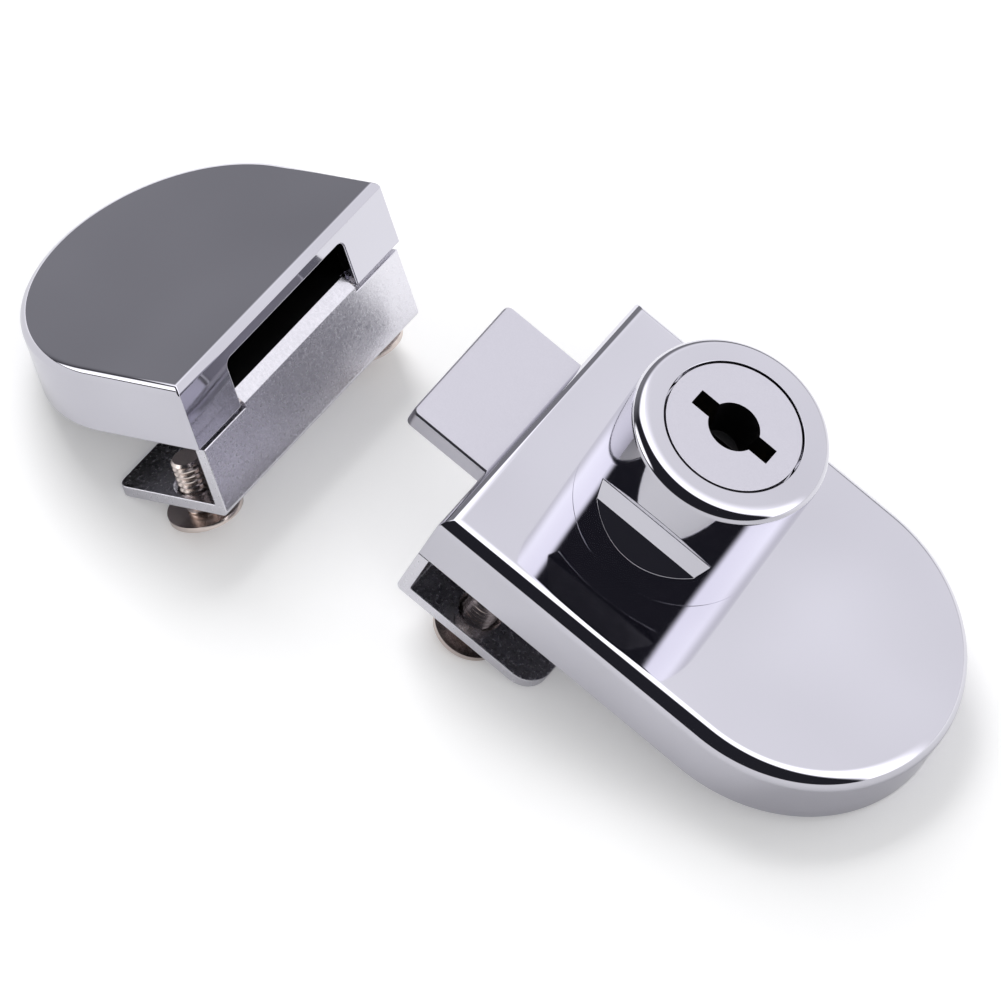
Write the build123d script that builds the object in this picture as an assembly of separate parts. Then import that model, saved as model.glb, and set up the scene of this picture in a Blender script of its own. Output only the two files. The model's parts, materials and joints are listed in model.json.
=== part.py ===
from build123d import *
import math
import os

# Clamp-on lock for a pair of glass cabinet doors. It is two units that lie loose
# beside each other: the lock unit, with its key barrel and bolt, and the strike
# unit that the bolt enters. Each unit is drawn on its own glass door first: z = 0
# is the glass face under its casing, +Z points out of the glass, and x = 0 is the
# front face that looks at the other unit. The lock reaches towards +X from there
# and the strike towards -X. Both are then laid down on a table, as when loose.
# Millimetres.

# Play and small shapes used everywhere
running_gap = 0.08
loose_gap = 0.15
cut_over = 2.0
fine_chamfer = 0.2

# Lock casing, a hollow casting with a round rear end
casing_width = 40.0
lock_length = 56.8
lock_height = 7.8
casing_wall = 1.6
casing_top = 1.6
lock_edge_round = 1.9

# Barrel on the lock casing
barrel_place = 18.3
barrel_radius = 11.4
barrel_height = 20.0
barrel_rim_round = 1.2
spigot_radius = 7.7
head_recess_depth = 2.4
head_ring_gap = 0.25
wafer_channel_depth = 0.9

# Finger scoops in the two sides of the barrel
scoop_wall_offset = 8.5
scoop_wall_lean = 0.6
scoop_wall_low = 6.2
scoop_wall_high = 8.9
scoop_low_slope = 40.0
scoop_high_slope = 58.0
scoop_edge_round = 0.3

# Key plug
plug_radius = 6.0
plug_head_radius = 7.85
plug_head_height = 2.2
plug_sink = 0.05
keyway_length = 10.4
keyway_width = 2.2
keyway_floor = 1.6
dish_radius = 3.0
dish_floor_radius = 2.3
dish_depth = 5.0
tail_radius = 2.9
tail_flat = 2.2

# Clip that keeps the plug in the barrel
clip_radius = 8.2
clip_thickness = 0.5
clip_bite = 0.8
clip_mouth = 7.0

# Wafers and their springs inside the plug
wafer_count = 6
wafer_first = 3.2
wafer_pitch = 1.9
wafer_thickness = 0.6
wafer_width = 5.6
wafer_window_width = 2.6
wafer_window_length = 6.4
wafer_window_step = 0.35
wafer_lug_reach = 1.5
wafer_lug_length = 0.9
spring_radius = 0.55
spring_bore_radius = 0.35
spring_length = 2.6

# Bolt, and the cam and pin that throw it
bolt_width = 19.3
bolt_thickness = 2.6
bolt_below_top = 2.5
bolt_reach = 10.5
bolt_corner_round = 0.8
bolt_tail_width = 23.6
bolt_tail_length = 23.6
cam_thickness = 1.0
cam_hub_radius = 4.4
cam_arm_radius = 2.8
drive_pin_radius = 2.0
drive_pin_play = 0.35
quarter_turn = 90.0

# Screws inside the two units
cam_screw_radius = 1.5
cam_screw_head_radius = 2.7
cam_screw_head_height = 1.1
cam_screw_length = 3.0
bracket_screw_radius = 1.5
bracket_screw_head_radius = 2.5
bracket_screw_length = 5.0
barrel_screw_radius = 1.0
barrel_screw_head_radius = 1.6
barrel_screw_length = 5.0
barrel_screw_count = 4
barrel_screw_angle = 45.0
boss_radius = 2.6
drive_slot_width = 0.6
drive_slot_depth = 0.5

# Lock bracket: base plate, web and clamp flange bent from one sheet
sheet = 1.5
bend_radius = 0.8
lock_glass_gap = 6.2
lock_flange_depth = 19.1
lock_flange_corner = 3.0
front_screw_place = 8.0
front_screw_inset = 4.8
rear_screw_inset = 12.3
rear_screw_side = 8.0
guide_rib = 1.2
guide_rib_length = 34.0
guide_rail_side = 10.0
guide_rail_width = 1.2

# Clamp screws, the same in both units
clamp_radius = 2.0
clamp_pitch = 0.7
clamp_thread_depth = 0.38
clamp_length = 6.6
clamp_head_radius = 4.3
clamp_head_edge = 0.7
clamp_dome_height = 0.5
clamp_hole_chamfer = 0.5
cross_length = 4.2
cross_width = 0.9
cross_depth = 0.9
lock_clamp_rear_inset = 10.2
lock_clamp_inset = 3.7
lock_clamp_unscrewed = 1.5
strike_clamp_place = 6.4
strike_clamp_inset = 3.1
strike_clamp_unscrewed = 1.8

# Strike casing
strike_width = 38.8
strike_length = 32.2
strike_round_depth = 18.3
strike_height = 8.6
strike_top = 1.4
strike_edge_round = 1.1
strike_slot_width = 22.3
strike_slot_top = 6.2
strike_slot_corner = 0.9

# Strike bracket
strike_glass_gap = 8.3
strike_sheet = 1.4
strike_bracket_width = 37.2
strike_flange_depth = 15.4
strike_flange_corner = 1.2
tongue_side_gap = 0.5
tongue_length = 20.5
web_shoulder_drop = 0.5
strike_screw_place = 16.8
strike_screw_side = 6.6

# Where the two units lie
strike_ahead = 24.8
strike_aside = 7.3
strike_turn = -1.1

# Places worked out from the sizes above
lock_round_place = lock_length - casing_width / 2
lock_ceiling = lock_height - casing_top
bolt_top = lock_height - bolt_below_top
bolt_bottom = bolt_top - bolt_thickness
cam_top = bolt_bottom - running_gap
cam_bottom = cam_top - cam_thickness
barrel_top = lock_height + barrel_height
plug_face = barrel_top - plug_sink
plug_shoulder = plug_face - plug_head_height
plug_bottom = bolt_top + running_gap
pin_orbit = bolt_reach / (2 * math.sin(math.radians(quarter_turn / 2)))
pin_start = math.radians(180 - quarter_turn / 2)
pin_x = barrel_place + pin_orbit * math.cos(pin_start)
pin_y = pin_orbit * math.sin(pin_start)
strike_ceiling = strike_height - strike_top
front_screw_side = casing_width / 2 - front_screw_inset
rear_screw_place = lock_length - rear_screw_inset
lock_clamp_side = casing_width / 2 - lock_clamp_inset
lock_clamp_place = lock_flange_depth - lock_clamp_rear_inset
strike_clamp_side = strike_bracket_width / 2 - strike_clamp_inset
lock_clamp_seat = -(lock_glass_gap + sheet + lock_clamp_unscrewed)
strike_clamp_seat = -(strike_glass_gap + strike_sheet + strike_clamp_unscrewed)
clamp_head_height = clamp_head_edge + clamp_dome_height
dome_sphere = (clamp_head_radius**2 + clamp_dome_height**2) / (2 * clamp_dome_height)


def block(x_low, x_high, y_low, y_high, z_low, z_high):
    """Box between two corners."""
    size = (x_high - x_low, y_high - y_low, z_high - z_low)
    middle = ((x_low + x_high) / 2, (y_low + y_high) / 2, (z_low + z_high) / 2)
    return Pos(*middle) * Box(*size)


def post(radius, x, y, z_low, z_high):
    """Upright round post."""
    return Pos(x, y, (z_low + z_high) / 2) * Cylinder(radius, z_high - z_low)


def prism(outline, z_low, z_high):
    """Outline drawn in XY, raised between two heights."""
    return Pos(0, 0, z_low) * extrude(outline, z_high - z_low)


def both_sides(y):
    """The near and the far side."""
    return (-y, y)


def lock_outline(inset):
    """Lock casing in plan, drawn in by an inset."""
    half = casing_width / 2 - inset
    straight = Pos((inset + lock_round_place) / 2, 0) * Rectangle(lock_round_place - inset, 2 * half)
    return straight + Pos(lock_round_place, 0) * Circle(half)


def strike_outline(inset):
    """Strike casing in plan, drawn in by an inset."""
    half = strike_width / 2 - inset
    straight = strike_length - strike_round_depth
    front = Pos(-(inset + straight) / 2, 0) * Rectangle(straight - inset, 2 * half)
    rear_half = Pos(-strike_length / 2 - straight / 2, 0) * Rectangle(strike_round_depth, 2 * half)
    return front + (Pos(-straight, 0) * Ellipse(strike_round_depth - inset, half) & rear_half)


def round_top_edges(solid, radius):
    """Round the outer edges of the top face."""
    return fillet(solid.faces().sort_by(Axis.Z)[-1].outer_wire().edges(), radius)


def countersunk_screw(radius, head_radius, length):
    """Flat-headed screw, head face at z = 0, shank up."""
    cone = head_radius - radius
    profile = Polyline(
        (0, 0),
        (head_radius, 0),
        (radius, cone),
        (radius, length - fine_chamfer),
        (radius - fine_chamfer, length),
        (0, length),
        close=True,
    )
    screw = revolve(Plane.XZ * make_face(profile), Axis.Z)
    half = drive_slot_width / 2
    return screw - block(-head_radius, head_radius, -half, half, -cut_over, drive_slot_depth)


def countersunk_hole(radius, head_radius, length):
    """The space that a flat-headed screw takes, with its head face at z = 0."""
    cone = head_radius - radius
    mouth = Pos(0, 0, cone / 2) * Cone(head_radius, radius, cone)
    return mouth + post(radius, 0, 0, 0, length) + post(head_radius, 0, 0, -cut_over, 0)


def clamp_screw():
    """Clamp screw with a domed head, seat of the head at z = 0, thread up."""
    core = clamp_radius - clamp_thread_depth
    turns = int((clamp_length - clamp_pitch) / clamp_pitch)
    points = [(0, -clamp_head_edge), (clamp_head_radius, -clamp_head_edge)]
    points += [(clamp_head_radius, 0), (clamp_radius, 0)]
    thread_start = clamp_length - turns * clamp_pitch
    for turn in range(turns):
        root = thread_start + (turn - 1 / 2) * clamp_pitch
        points.append((core, root))
        points.append((clamp_radius, root + clamp_pitch / 2))
    points.append((core, clamp_length))
    points.append((0, clamp_length))
    shank = revolve(Plane.XZ * make_face(Polyline(*points, close=True)), Axis.Z)
    ball = Pos(0, 0, dome_sphere - clamp_head_height) * Sphere(dome_sphere)
    dome = ball & post(clamp_head_radius, 0, 0, -clamp_head_height - cut_over, -clamp_head_edge)
    screw = shank + dome
    for turn in (0, quarter_turn):
        recess = Box(cross_length, cross_width, 2 * cross_depth)
        screw -= Pos(0, 0, -clamp_head_height) * Rot(0, 0, turn) * recess
    return screw


def clamp_hole(x, y, z_low, z_high):
    """Hole for a clamp screw, opened out at both faces of the flange."""
    radius = clamp_radius + running_gap
    hole = post(radius, x, y, z_low - cut_over, z_high + cut_over)
    wide = radius + clamp_hole_chamfer
    hole += Pos(x, y, z_high - clamp_hole_chamfer / 2) * Cone(radius, wide, clamp_hole_chamfer)
    hole += Pos(x, y, z_low + clamp_hole_chamfer / 2) * Cone(wide, radius, clamp_hole_chamfer)
    return hole


def bent_sheet(width, drop, thickness, depth, corner):
    """Web and lower flange of a clamp bracket, front face at x = 0, reaching +X."""
    half = width / 2
    web = block(0, thickness, -half, half, -drop - thickness, 0)
    flange = block(0, depth, -half, half, -drop - thickness, -drop)
    rear = (flange.edges() | Axis.Z).group_by(Axis.X)[-1]
    bracket = web + fillet(rear, corner)
    low_front = (bracket.edges() | Axis.Y).group_by(Axis.Z)[0].sort_by(Axis.X)[0]
    return fillet(low_front, bend_radius)


def lock_fixing_places():
    """Screws that hold the bracket to the lock casing."""
    front = [(front_screw_place, y) for y in both_sides(front_screw_side)]
    rear = [(rear_screw_place, y) for y in both_sides(rear_screw_side)]
    return front + rear


def strike_fixing_places():
    """Screws that hold the bracket to the strike casing."""
    return [(-strike_screw_place, y) for y in both_sides(strike_screw_side)]


def barrel_fixing_places():
    """Screws that hold the barrel, between its spigot and its outside."""
    ring = barrel_radius - barrel_screw_head_radius - loose_gap
    places = []
    for index in range(barrel_screw_count):
        angle = math.radians(barrel_screw_angle + index * 360 / barrel_screw_count)
        places.append((barrel_place + ring * math.cos(angle), ring * math.sin(angle)))
    return places


def make_lock_casing():
    """Hollow casting with bosses, bolt guides and the hole under the barrel."""
    casing = round_top_edges(prism(lock_outline(0), 0, lock_height), lock_edge_round)
    casing -= prism(lock_outline(casing_wall), -cut_over, lock_ceiling)
    for x, y in lock_fixing_places():
        casing += post(boss_radius, x, y, sheet, lock_ceiling)
    rib_inner = bolt_tail_width / 2 + running_gap
    rail_low = bolt_top + running_gap
    for side in (-1, 1):
        rib = sorted((side * rib_inner, side * (rib_inner + guide_rib)))
        rail = sorted((side * guide_rail_side, side * (guide_rail_side + guide_rail_width)))
        casing += block(casing_wall, guide_rib_length, *rib, sheet, lock_ceiling)
        casing += block(casing_wall, guide_rib_length, *rail, rail_low, lock_ceiling)
    mouth = bolt_width / 2 + running_gap
    mouth_low = bolt_bottom - running_gap
    casing -= block(-cut_over, casing_wall, -mouth, mouth, mouth_low, rail_low)
    plate = casing_width / 2 - casing_wall
    casing -= block(-cut_over, casing_wall, -plate, plate, -cut_over, sheet)
    hole = spigot_radius + running_gap
    casing -= post(hole, barrel_place, 0, lock_ceiling - cut_over, lock_height + cut_over)
    for x, y in barrel_fixing_places():
        hole = countersunk_hole(barrel_screw_radius, barrel_screw_head_radius, barrel_screw_length)
        casing -= Pos(x, y, lock_ceiling) * hole
    for x, y in lock_fixing_places():
        casing -= post(bracket_screw_radius, x, y, sheet - cut_over, bracket_screw_length)
    return casing


def scoop_cut():
    """Recess for a finger in the near side of the barrel: a leaning flat wall between two slopes."""
    outside = barrel_radius + cut_over
    foot = scoop_wall_offset + scoop_wall_lean
    low = scoop_wall_low - (outside - foot) * math.tan(math.radians(scoop_low_slope))
    high = scoop_wall_high + (outside - scoop_wall_offset) * math.tan(math.radians(scoop_high_slope))
    wall = [(-foot, scoop_wall_low), (-scoop_wall_offset, scoop_wall_high)]
    profile = Polyline((-outside, low), *wall, (-outside, high), close=True)
    cutter = extrude(Plane.YZ * make_face(profile), barrel_radius, both=True)
    return Pos(barrel_place, 0, lock_height) * cutter


def make_barrel():
    """Round barrel with its bore, its recess for the plug head and two finger scoops."""
    barrel = post(barrel_radius, barrel_place, 0, lock_height, barrel_top)
    barrel = round_top_edges(barrel, barrel_rim_round)
    barrel -= scoop_cut() + mirror(scoop_cut(), Plane.XZ)
    barrel = fillet(scoop_rims(barrel), scoop_edge_round)
    barrel += post(spigot_radius, barrel_place, 0, lock_ceiling, lock_height)
    barrel -= post(plug_radius + running_gap, barrel_place, 0, lock_ceiling - cut_over, barrel_top)
    recess_floor = barrel_top - head_recess_depth
    recess = post(plug_head_radius + head_ring_gap, barrel_place, 0, recess_floor, barrel_top + cut_over)
    barrel -= recess
    channel_reach = plug_radius + wafer_channel_depth
    channel_half = wafer_width / 2 + loose_gap
    channel_top = lock_height + wafer_first + wafer_count * wafer_pitch
    reach = (barrel_place - channel_reach, barrel_place + channel_reach)
    barrel -= block(*reach, -channel_half, channel_half, lock_ceiling - cut_over, channel_top)
    mouth = barrel.edges().filter_by(GeomType.CIRCLE).group_by(Axis.Z)[-1].sort_by(SortBy.RADIUS)[0]
    barrel = chamfer(mouth, fine_chamfer)
    for x, y in barrel_fixing_places():
        hole = countersunk_hole(barrel_screw_radius, barrel_screw_head_radius, barrel_screw_length)
        barrel -= Pos(x, y, lock_ceiling) * hole
    return barrel


def scoop_rims(barrel):
    """Edges where the scoops meet the round outside of the barrel."""
    low = lock_height + fine_chamfer
    high = barrel_top - barrel_rim_round - fine_chamfer
    between = barrel.edges().filter_by_position(Axis.Z, low, high)
    return between.filter_by(lambda edge: edge.geom_type != GeomType.LINE)


def wafer_places():
    """Heights of the wafers, lowest first."""
    return [lock_height + wafer_first + index * wafer_pitch for index in range(wafer_count)]


def make_plug():
    """Key plug with its keyway, wafer slots, clip groove and flatted tail."""
    plug = post(plug_radius, barrel_place, 0, plug_bottom, plug_shoulder)
    head = post(plug_head_radius, barrel_place, 0, plug_shoulder, plug_face)
    head = chamfer(head.edges().filter_by(GeomType.CIRCLE).sort_by(Axis.Z)[-1], fine_chamfer)
    plug += head
    tail = post(tail_radius, barrel_place, 0, cam_bottom, plug_bottom)
    reach = (barrel_place - tail_radius, barrel_place + tail_radius)
    tail = tail & block(*reach, -tail_flat, tail_flat, cam_bottom, plug_bottom)
    plug += tail
    key_reach = (barrel_place - keyway_length / 2, barrel_place + keyway_length / 2)
    key_floor = lock_height + keyway_floor
    plug -= block(*key_reach, -keyway_width / 2, keyway_width / 2, key_floor, plug_face + cut_over)
    dish = Cone(dish_floor_radius, dish_radius, dish_depth)
    plug -= Pos(barrel_place, 0, plug_face - dish_depth / 2) * dish
    half = wafer_width / 2 + running_gap
    body = (barrel_place - plug_radius - cut_over, barrel_place + plug_radius + cut_over)
    lug = (wafer_width / 2 + running_gap, wafer_width / 2 + wafer_lug_reach + running_gap)
    for z in wafer_places():
        plug -= block(*body, -half, half, z - running_gap, z + wafer_thickness + running_gap)
        pocket_half = spring_radius + running_gap
        middle = z + wafer_thickness / 2
        pocket = (barrel_place - spring_length - running_gap, barrel_place + wafer_lug_length + loose_gap)
        plug -= block(*pocket, *lug, middle - pocket_half, middle + pocket_half)
    groove_top = lock_ceiling - running_gap
    groove = post(plug_radius + cut_over, barrel_place, 0, groove_top - clip_thickness, groove_top)
    plug -= groove - post(plug_radius - clip_bite, barrel_place, 0, groove_top - clip_thickness, groove_top)
    plug -= post(cam_screw_radius, barrel_place, 0, cam_bottom - cut_over, cam_bottom + cam_screw_length)
    return plug


def make_clip():
    """Open ring that sits in the plug's groove under the casing."""
    top = lock_ceiling - running_gap
    ring = post(clip_radius, barrel_place, 0, top - clip_thickness, top)
    ring -= post(plug_radius - clip_bite, barrel_place, 0, top - clip_thickness, top)
    mouth = (barrel_place, barrel_place + clip_radius + cut_over)
    return ring - block(*mouth, -clip_mouth / 2, clip_mouth / 2, top - clip_thickness, top)


def make_wafer(index):
    """Flat wafer with the window that the key passes and a lug for its spring."""
    z = wafer_places()[index]
    top = z + wafer_thickness
    half = wafer_width / 2
    body = (barrel_place - plug_radius, barrel_place + plug_radius)
    disc = post(plug_radius - running_gap, barrel_place, 0, z, top)
    plate = disc & block(*body, -half, half, z, top)
    lug = (barrel_place, barrel_place + wafer_lug_length)
    plate += block(*lug, half - running_gap, half + wafer_lug_reach, z, top)
    middle = barrel_place + (index % 3 - 1) * wafer_window_step
    window = (middle - wafer_window_length / 2, middle + wafer_window_length / 2)
    return plate - block(*window, -wafer_window_width / 2, wafer_window_width / 2, z, top)


def make_wafer_springs():
    """Small springs that push the wafers, one beside each lug."""
    springs = []
    side = wafer_width / 2 + wafer_lug_reach / 2 + running_gap
    for z in wafer_places():
        coil = Cylinder(spring_radius, spring_length) - Cylinder(spring_bore_radius, spring_length)
        middle = barrel_place - spring_length / 2
        springs.append(Pos(middle, side, z + wafer_thickness / 2) * Rot(0, quarter_turn, 0) * coil)
    return springs


def make_cam():
    """Cam on the plug's tail, with the pin that drives the bolt."""
    arm_turn = math.degrees(pin_start)
    arm = Rot(0, 0, arm_turn) * Pos(pin_orbit / 2, 0) * SlotCenterToCenter(pin_orbit, 2 * cam_arm_radius)
    cam = prism(Pos(barrel_place, 0) * (Circle(cam_hub_radius) + arm), cam_bottom, cam_top)
    reach = (barrel_place - tail_radius, barrel_place + tail_radius)
    tail = post(tail_radius, barrel_place, 0, cam_bottom, cam_top)
    cam -= tail & block(*reach, -tail_flat, tail_flat, cam_bottom, cam_top)
    pin = post(drive_pin_radius, pin_x, pin_y, cam_top, bolt_top - running_gap)
    pin = chamfer(pin.edges().filter_by(GeomType.CIRCLE).sort_by(Axis.Z)[-1], fine_chamfer)
    return cam + pin


def make_cam_screw():
    """Screw and head that hold the cam on the plug's tail."""
    screw = post(cam_screw_head_radius, 0, 0, -cam_screw_head_height, 0)
    screw = chamfer(screw.edges().filter_by(GeomType.CIRCLE).sort_by(Axis.Z)[0], fine_chamfer)
    screw += post(cam_screw_radius, 0, 0, 0, cam_screw_length)
    across = (-cam_screw_head_radius, cam_screw_head_radius)
    half = drive_slot_width / 2
    floor = drive_slot_depth - cam_screw_head_height
    screw -= block(*across, -half, half, -cam_screw_head_height, floor)
    return Pos(barrel_place, 0, cam_bottom) * screw


def make_bolt():
    """Flat bolt: a nose, shoulders that stop on the casing, and a T-shaped slot for tail and pin."""
    shoulder = casing_wall + running_gap
    nose = block(-bolt_reach, shoulder, -bolt_width / 2, bolt_width / 2, bolt_bottom, bolt_top)
    tip = (nose.edges() | Axis.Z).group_by(Axis.X)[0]
    nose = fillet(tip, bolt_corner_round)
    rim = nose.faces().sort_by(Axis.X)[0].outer_wire().edges() | Axis.Y
    nose = chamfer(rim, fine_chamfer)
    half = bolt_tail_width / 2
    bolt = nose + block(shoulder, shoulder + bolt_tail_length, -half, half, bolt_bottom, bolt_top)
    tail_reach = tail_radius + running_gap
    tail_way = (barrel_place - bolt_reach - tail_reach, barrel_place + tail_reach)
    tail_half = tail_radius + running_gap
    bolt -= block(*tail_way, -tail_half, tail_half, bolt_bottom, bolt_top)
    pin_half = drive_pin_radius + drive_pin_play
    pin_way = (0, pin_orbit + pin_half)
    return bolt - block(pin_x - pin_half, pin_x + pin_half, *pin_way, bolt_bottom, bolt_top)


def make_lock_bracket():
    """Base plate, web and clamp flange of the lock, bent from one sheet."""
    bracket = bent_sheet(casing_width, lock_glass_gap, sheet, lock_flange_depth, lock_flange_corner)
    plate_inset = casing_wall + loose_gap
    plate = prism(lock_outline(plate_inset), 0, sheet)
    half = casing_width / 2 - plate_inset
    plate += block(0, plate_inset + cut_over, -half, half, 0, sheet)
    front = (plate.edges() | Axis.Y).group_by(Axis.Z)[-1].sort_by(Axis.X)[0]
    bracket += fillet(front, bend_radius)
    for y in both_sides(lock_clamp_side):
        bracket -= clamp_hole(lock_clamp_place, y, -lock_glass_gap - sheet, -lock_glass_gap)
    for x, y in lock_fixing_places():
        hole = countersunk_hole(bracket_screw_radius, bracket_screw_head_radius, bracket_screw_length)
        bracket -= Pos(x, y, 0) * hole
    hole = cam_screw_head_radius + loose_gap
    return bracket - post(hole, barrel_place, 0, -cut_over, sheet + cut_over)


def make_strike_casing():
    """Hollow casting of the strike, with the slot that the bolt enters."""
    casing = round_top_edges(prism(strike_outline(0), 0, strike_height), strike_edge_round)
    casing -= prism(strike_outline(casing_wall), -cut_over, strike_ceiling)
    half = strike_slot_width / 2
    slot = block(-casing_wall, casing_wall, -half, half, -cut_over, strike_slot_top)
    slot = fillet((slot.edges() | Axis.X).group_by(Axis.Z)[-1], strike_slot_corner)
    casing -= slot
    for x, y in strike_fixing_places():
        casing += post(boss_radius, x, y, strike_sheet, strike_ceiling)
        casing -= post(bracket_screw_radius, x, y, strike_sheet - cut_over, bracket_screw_length)
    return casing


def make_strike_bracket():
    """Web and clamp flange of the strike, with a tongue that goes in under the bolt slot."""
    bracket = bent_sheet(
        strike_bracket_width, strike_glass_gap, strike_sheet, strike_flange_depth, strike_flange_corner
    )
    half = strike_slot_width / 2 - tongue_side_gap
    tongue = block(0, tongue_length, -half, half, 0, strike_sheet)
    front = (tongue.edges() | Axis.Y).group_by(Axis.Z)[-1].sort_by(Axis.X)[0]
    bracket += fillet(front, strike_sheet - fine_chamfer)
    for side in (-1, 1):
        shoulder = sorted((side * half, side * (strike_bracket_width / 2 + cut_over)))
        bracket -= block(-cut_over, strike_sheet, *shoulder, -web_shoulder_drop, cut_over)
    bracket = mirror(bracket, Plane.YZ)
    for y in both_sides(strike_clamp_side):
        bracket -= clamp_hole(-strike_clamp_place, y, -strike_glass_gap - strike_sheet, -strike_glass_gap)
    for x, y in strike_fixing_places():
        hole = countersunk_hole(bracket_screw_radius, bracket_screw_head_radius, bracket_screw_length)
        bracket -= Pos(x, y, 0) * hole
    return bracket


def screw_set(places, radius, head_radius, length, z):
    """Flat-headed screws of one kind, heads down at one height."""
    return [Pos(x, y, z) * countersunk_screw(radius, head_radius, length) for x, y in places]


def make_lock_unit():
    """Every piece of the lock unit, on its glass."""
    bracket_sizes = (bracket_screw_radius, bracket_screw_head_radius, bracket_screw_length)
    barrel_sizes = (barrel_screw_radius, barrel_screw_head_radius, barrel_screw_length)
    near, far = both_sides(lock_clamp_side)
    pieces = {
        "lock_casing": make_lock_casing(),
        "lock_barrel": make_barrel(),
        "barrel_screws": screw_set(barrel_fixing_places(), *barrel_sizes, lock_ceiling),
        "key_plug": make_plug(),
        "plug_clip": make_clip(),
        "wafer_springs": make_wafer_springs(),
        "drive_cam": make_cam(),
        "cam_screw": make_cam_screw(),
        "bolt": make_bolt(),
        "lock_bracket": make_lock_bracket(),
        "lock_bracket_screws": screw_set(lock_fixing_places(), *bracket_sizes, 0),
        "lock_clamp_screw_near": Pos(lock_clamp_place, near, lock_clamp_seat) * clamp_screw(),
        "lock_clamp_screw_far": Pos(lock_clamp_place, far, lock_clamp_seat) * clamp_screw(),
    }
    for index in range(wafer_count):
        pieces[f"wafer_{index + 1}"] = make_wafer(index)
    return pieces


def make_strike_unit():
    """Every piece of the strike unit, on its glass."""
    bracket_sizes = (bracket_screw_radius, bracket_screw_head_radius, bracket_screw_length)
    near, far = both_sides(strike_clamp_side)
    return {
        "strike_casing": make_strike_casing(),
        "strike_bracket": make_strike_bracket(),
        "strike_bracket_screws": screw_set(strike_fixing_places(), *bracket_sizes, 0),
        "strike_clamp_screw_near": Pos(-strike_clamp_place, near, strike_clamp_seat) * clamp_screw(),
        "strike_clamp_screw_far": Pos(-strike_clamp_place, far, strike_clamp_seat) * clamp_screw(),
    }


def edge_tilt(run, drop):
    """Nose-up angle that brings an edge so far ahead of the rear rim, and so far below it, to the table."""
    return math.degrees(math.atan2(drop, run))


def head_tilt(run, seat):
    """Nose-up angle that brings a clamp screw's head to the table, on its dome or on the head's edge."""
    rise = seat - clamp_head_height + dome_sphere
    dome = math.asin(dome_sphere / math.hypot(run, rise)) - math.atan2(rise, run)
    if dome_sphere * math.sin(dome) <= clamp_head_radius:
        return math.degrees(dome)
    return edge_tilt(run - clamp_head_radius, clamp_head_edge - seat)


def lock_tilt():
    """Angle at which the lock lies on its rear rim and on its screw heads or its flange."""
    flange = edge_tilt(lock_length - lock_flange_depth, lock_glass_gap + sheet)
    return max(flange, head_tilt(lock_length - lock_clamp_place, lock_clamp_seat))


def strike_tilt():
    """Angle at which the strike lies on its rear rim and on its screw heads or its flange."""
    flange = edge_tilt(strike_length - strike_flange_depth, strike_glass_gap + strike_sheet)
    return max(flange, head_tilt(strike_length - strike_clamp_place, strike_clamp_seat))


def lock_place():
    """Where the lock unit lies, before both units are centred."""
    height = lock_length * math.sin(math.radians(lock_tilt()))
    return Pos(0, 0, height) * Rot(0, lock_tilt(), 0)


def strike_place():
    """Where the strike unit lies, before both units are centred."""
    height = strike_length * math.sin(math.radians(strike_tilt()))
    return Pos(-strike_ahead, -strike_aside, height) * Rot(0, 0, strike_turn) * Rot(0, -strike_tilt(), 0)


def centring(lock, strike):
    """Shift that puts the middle of both units over the origin."""
    box = Compound([lock_place() * lock, strike_place() * strike]).bounding_box()
    return Pos(-(box.min.X + box.max.X) / 2, -(box.min.Y + box.max.Y) / 2, 0)


def place_piece(place, piece):
    """Piece or set of pieces moved to where it lies."""
    solids = piece if isinstance(piece, list) else [piece]
    placed = [place * solid for solid in solids]
    return placed[0] if len(placed) == 1 else Compound(placed)


lock_unit = make_lock_unit()
strike_unit = make_strike_unit()
shift = centring(lock_unit["lock_casing"], strike_unit["strike_casing"])
lock_location = shift * lock_place()
strike_location = shift * strike_place()

os.makedirs("parts", exist_ok=True)
for location, unit in ((lock_location, lock_unit), (strike_location, strike_unit)):
    for name, piece in unit.items():
        export_step(place_piece(location, piece), f"parts/{name}.step")
print(f"lock tilt {lock_tilt():.2f} degrees, strike tilt {strike_tilt():.2f} degrees")
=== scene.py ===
"""Looks of a clamp-on lock for a pair of glass cabinet doors.

The two units lie loose beside each other: the lock unit, with its key barrel and bolt, and the
strike unit that the bolt enters. Each unit is modelled in its own millimetre frame, where z = 0 is
the glass face under its casing, +Z points out of the glass and x = 0 is the front face that looks
at the other unit. A placement read from the frame's glass seats then lays it down, in metres.
"""

import json
import logging
import math
from contextlib import contextmanager
from dataclasses import dataclass
from enum import Enum
from typing import Any, Callable, Iterator, Sequence

import bmesh
import bpy
from mathutils import Matrix, Vector

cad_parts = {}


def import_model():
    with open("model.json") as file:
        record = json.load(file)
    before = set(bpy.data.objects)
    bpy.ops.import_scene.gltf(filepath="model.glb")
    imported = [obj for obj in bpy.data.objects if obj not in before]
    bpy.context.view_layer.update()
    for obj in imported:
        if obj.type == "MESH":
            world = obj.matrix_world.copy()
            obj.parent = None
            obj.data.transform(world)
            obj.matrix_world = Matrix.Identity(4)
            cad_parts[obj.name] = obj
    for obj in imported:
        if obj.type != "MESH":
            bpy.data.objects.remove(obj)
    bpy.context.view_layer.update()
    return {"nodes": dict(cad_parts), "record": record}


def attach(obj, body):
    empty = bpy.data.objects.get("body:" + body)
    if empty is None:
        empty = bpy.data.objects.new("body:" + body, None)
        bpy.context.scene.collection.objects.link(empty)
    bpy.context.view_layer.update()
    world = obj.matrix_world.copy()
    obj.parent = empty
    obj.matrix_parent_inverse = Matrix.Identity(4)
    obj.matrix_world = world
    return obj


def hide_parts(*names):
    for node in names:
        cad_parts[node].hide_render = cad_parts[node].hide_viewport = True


log = logging.getLogger("glass_door_lock")

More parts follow.
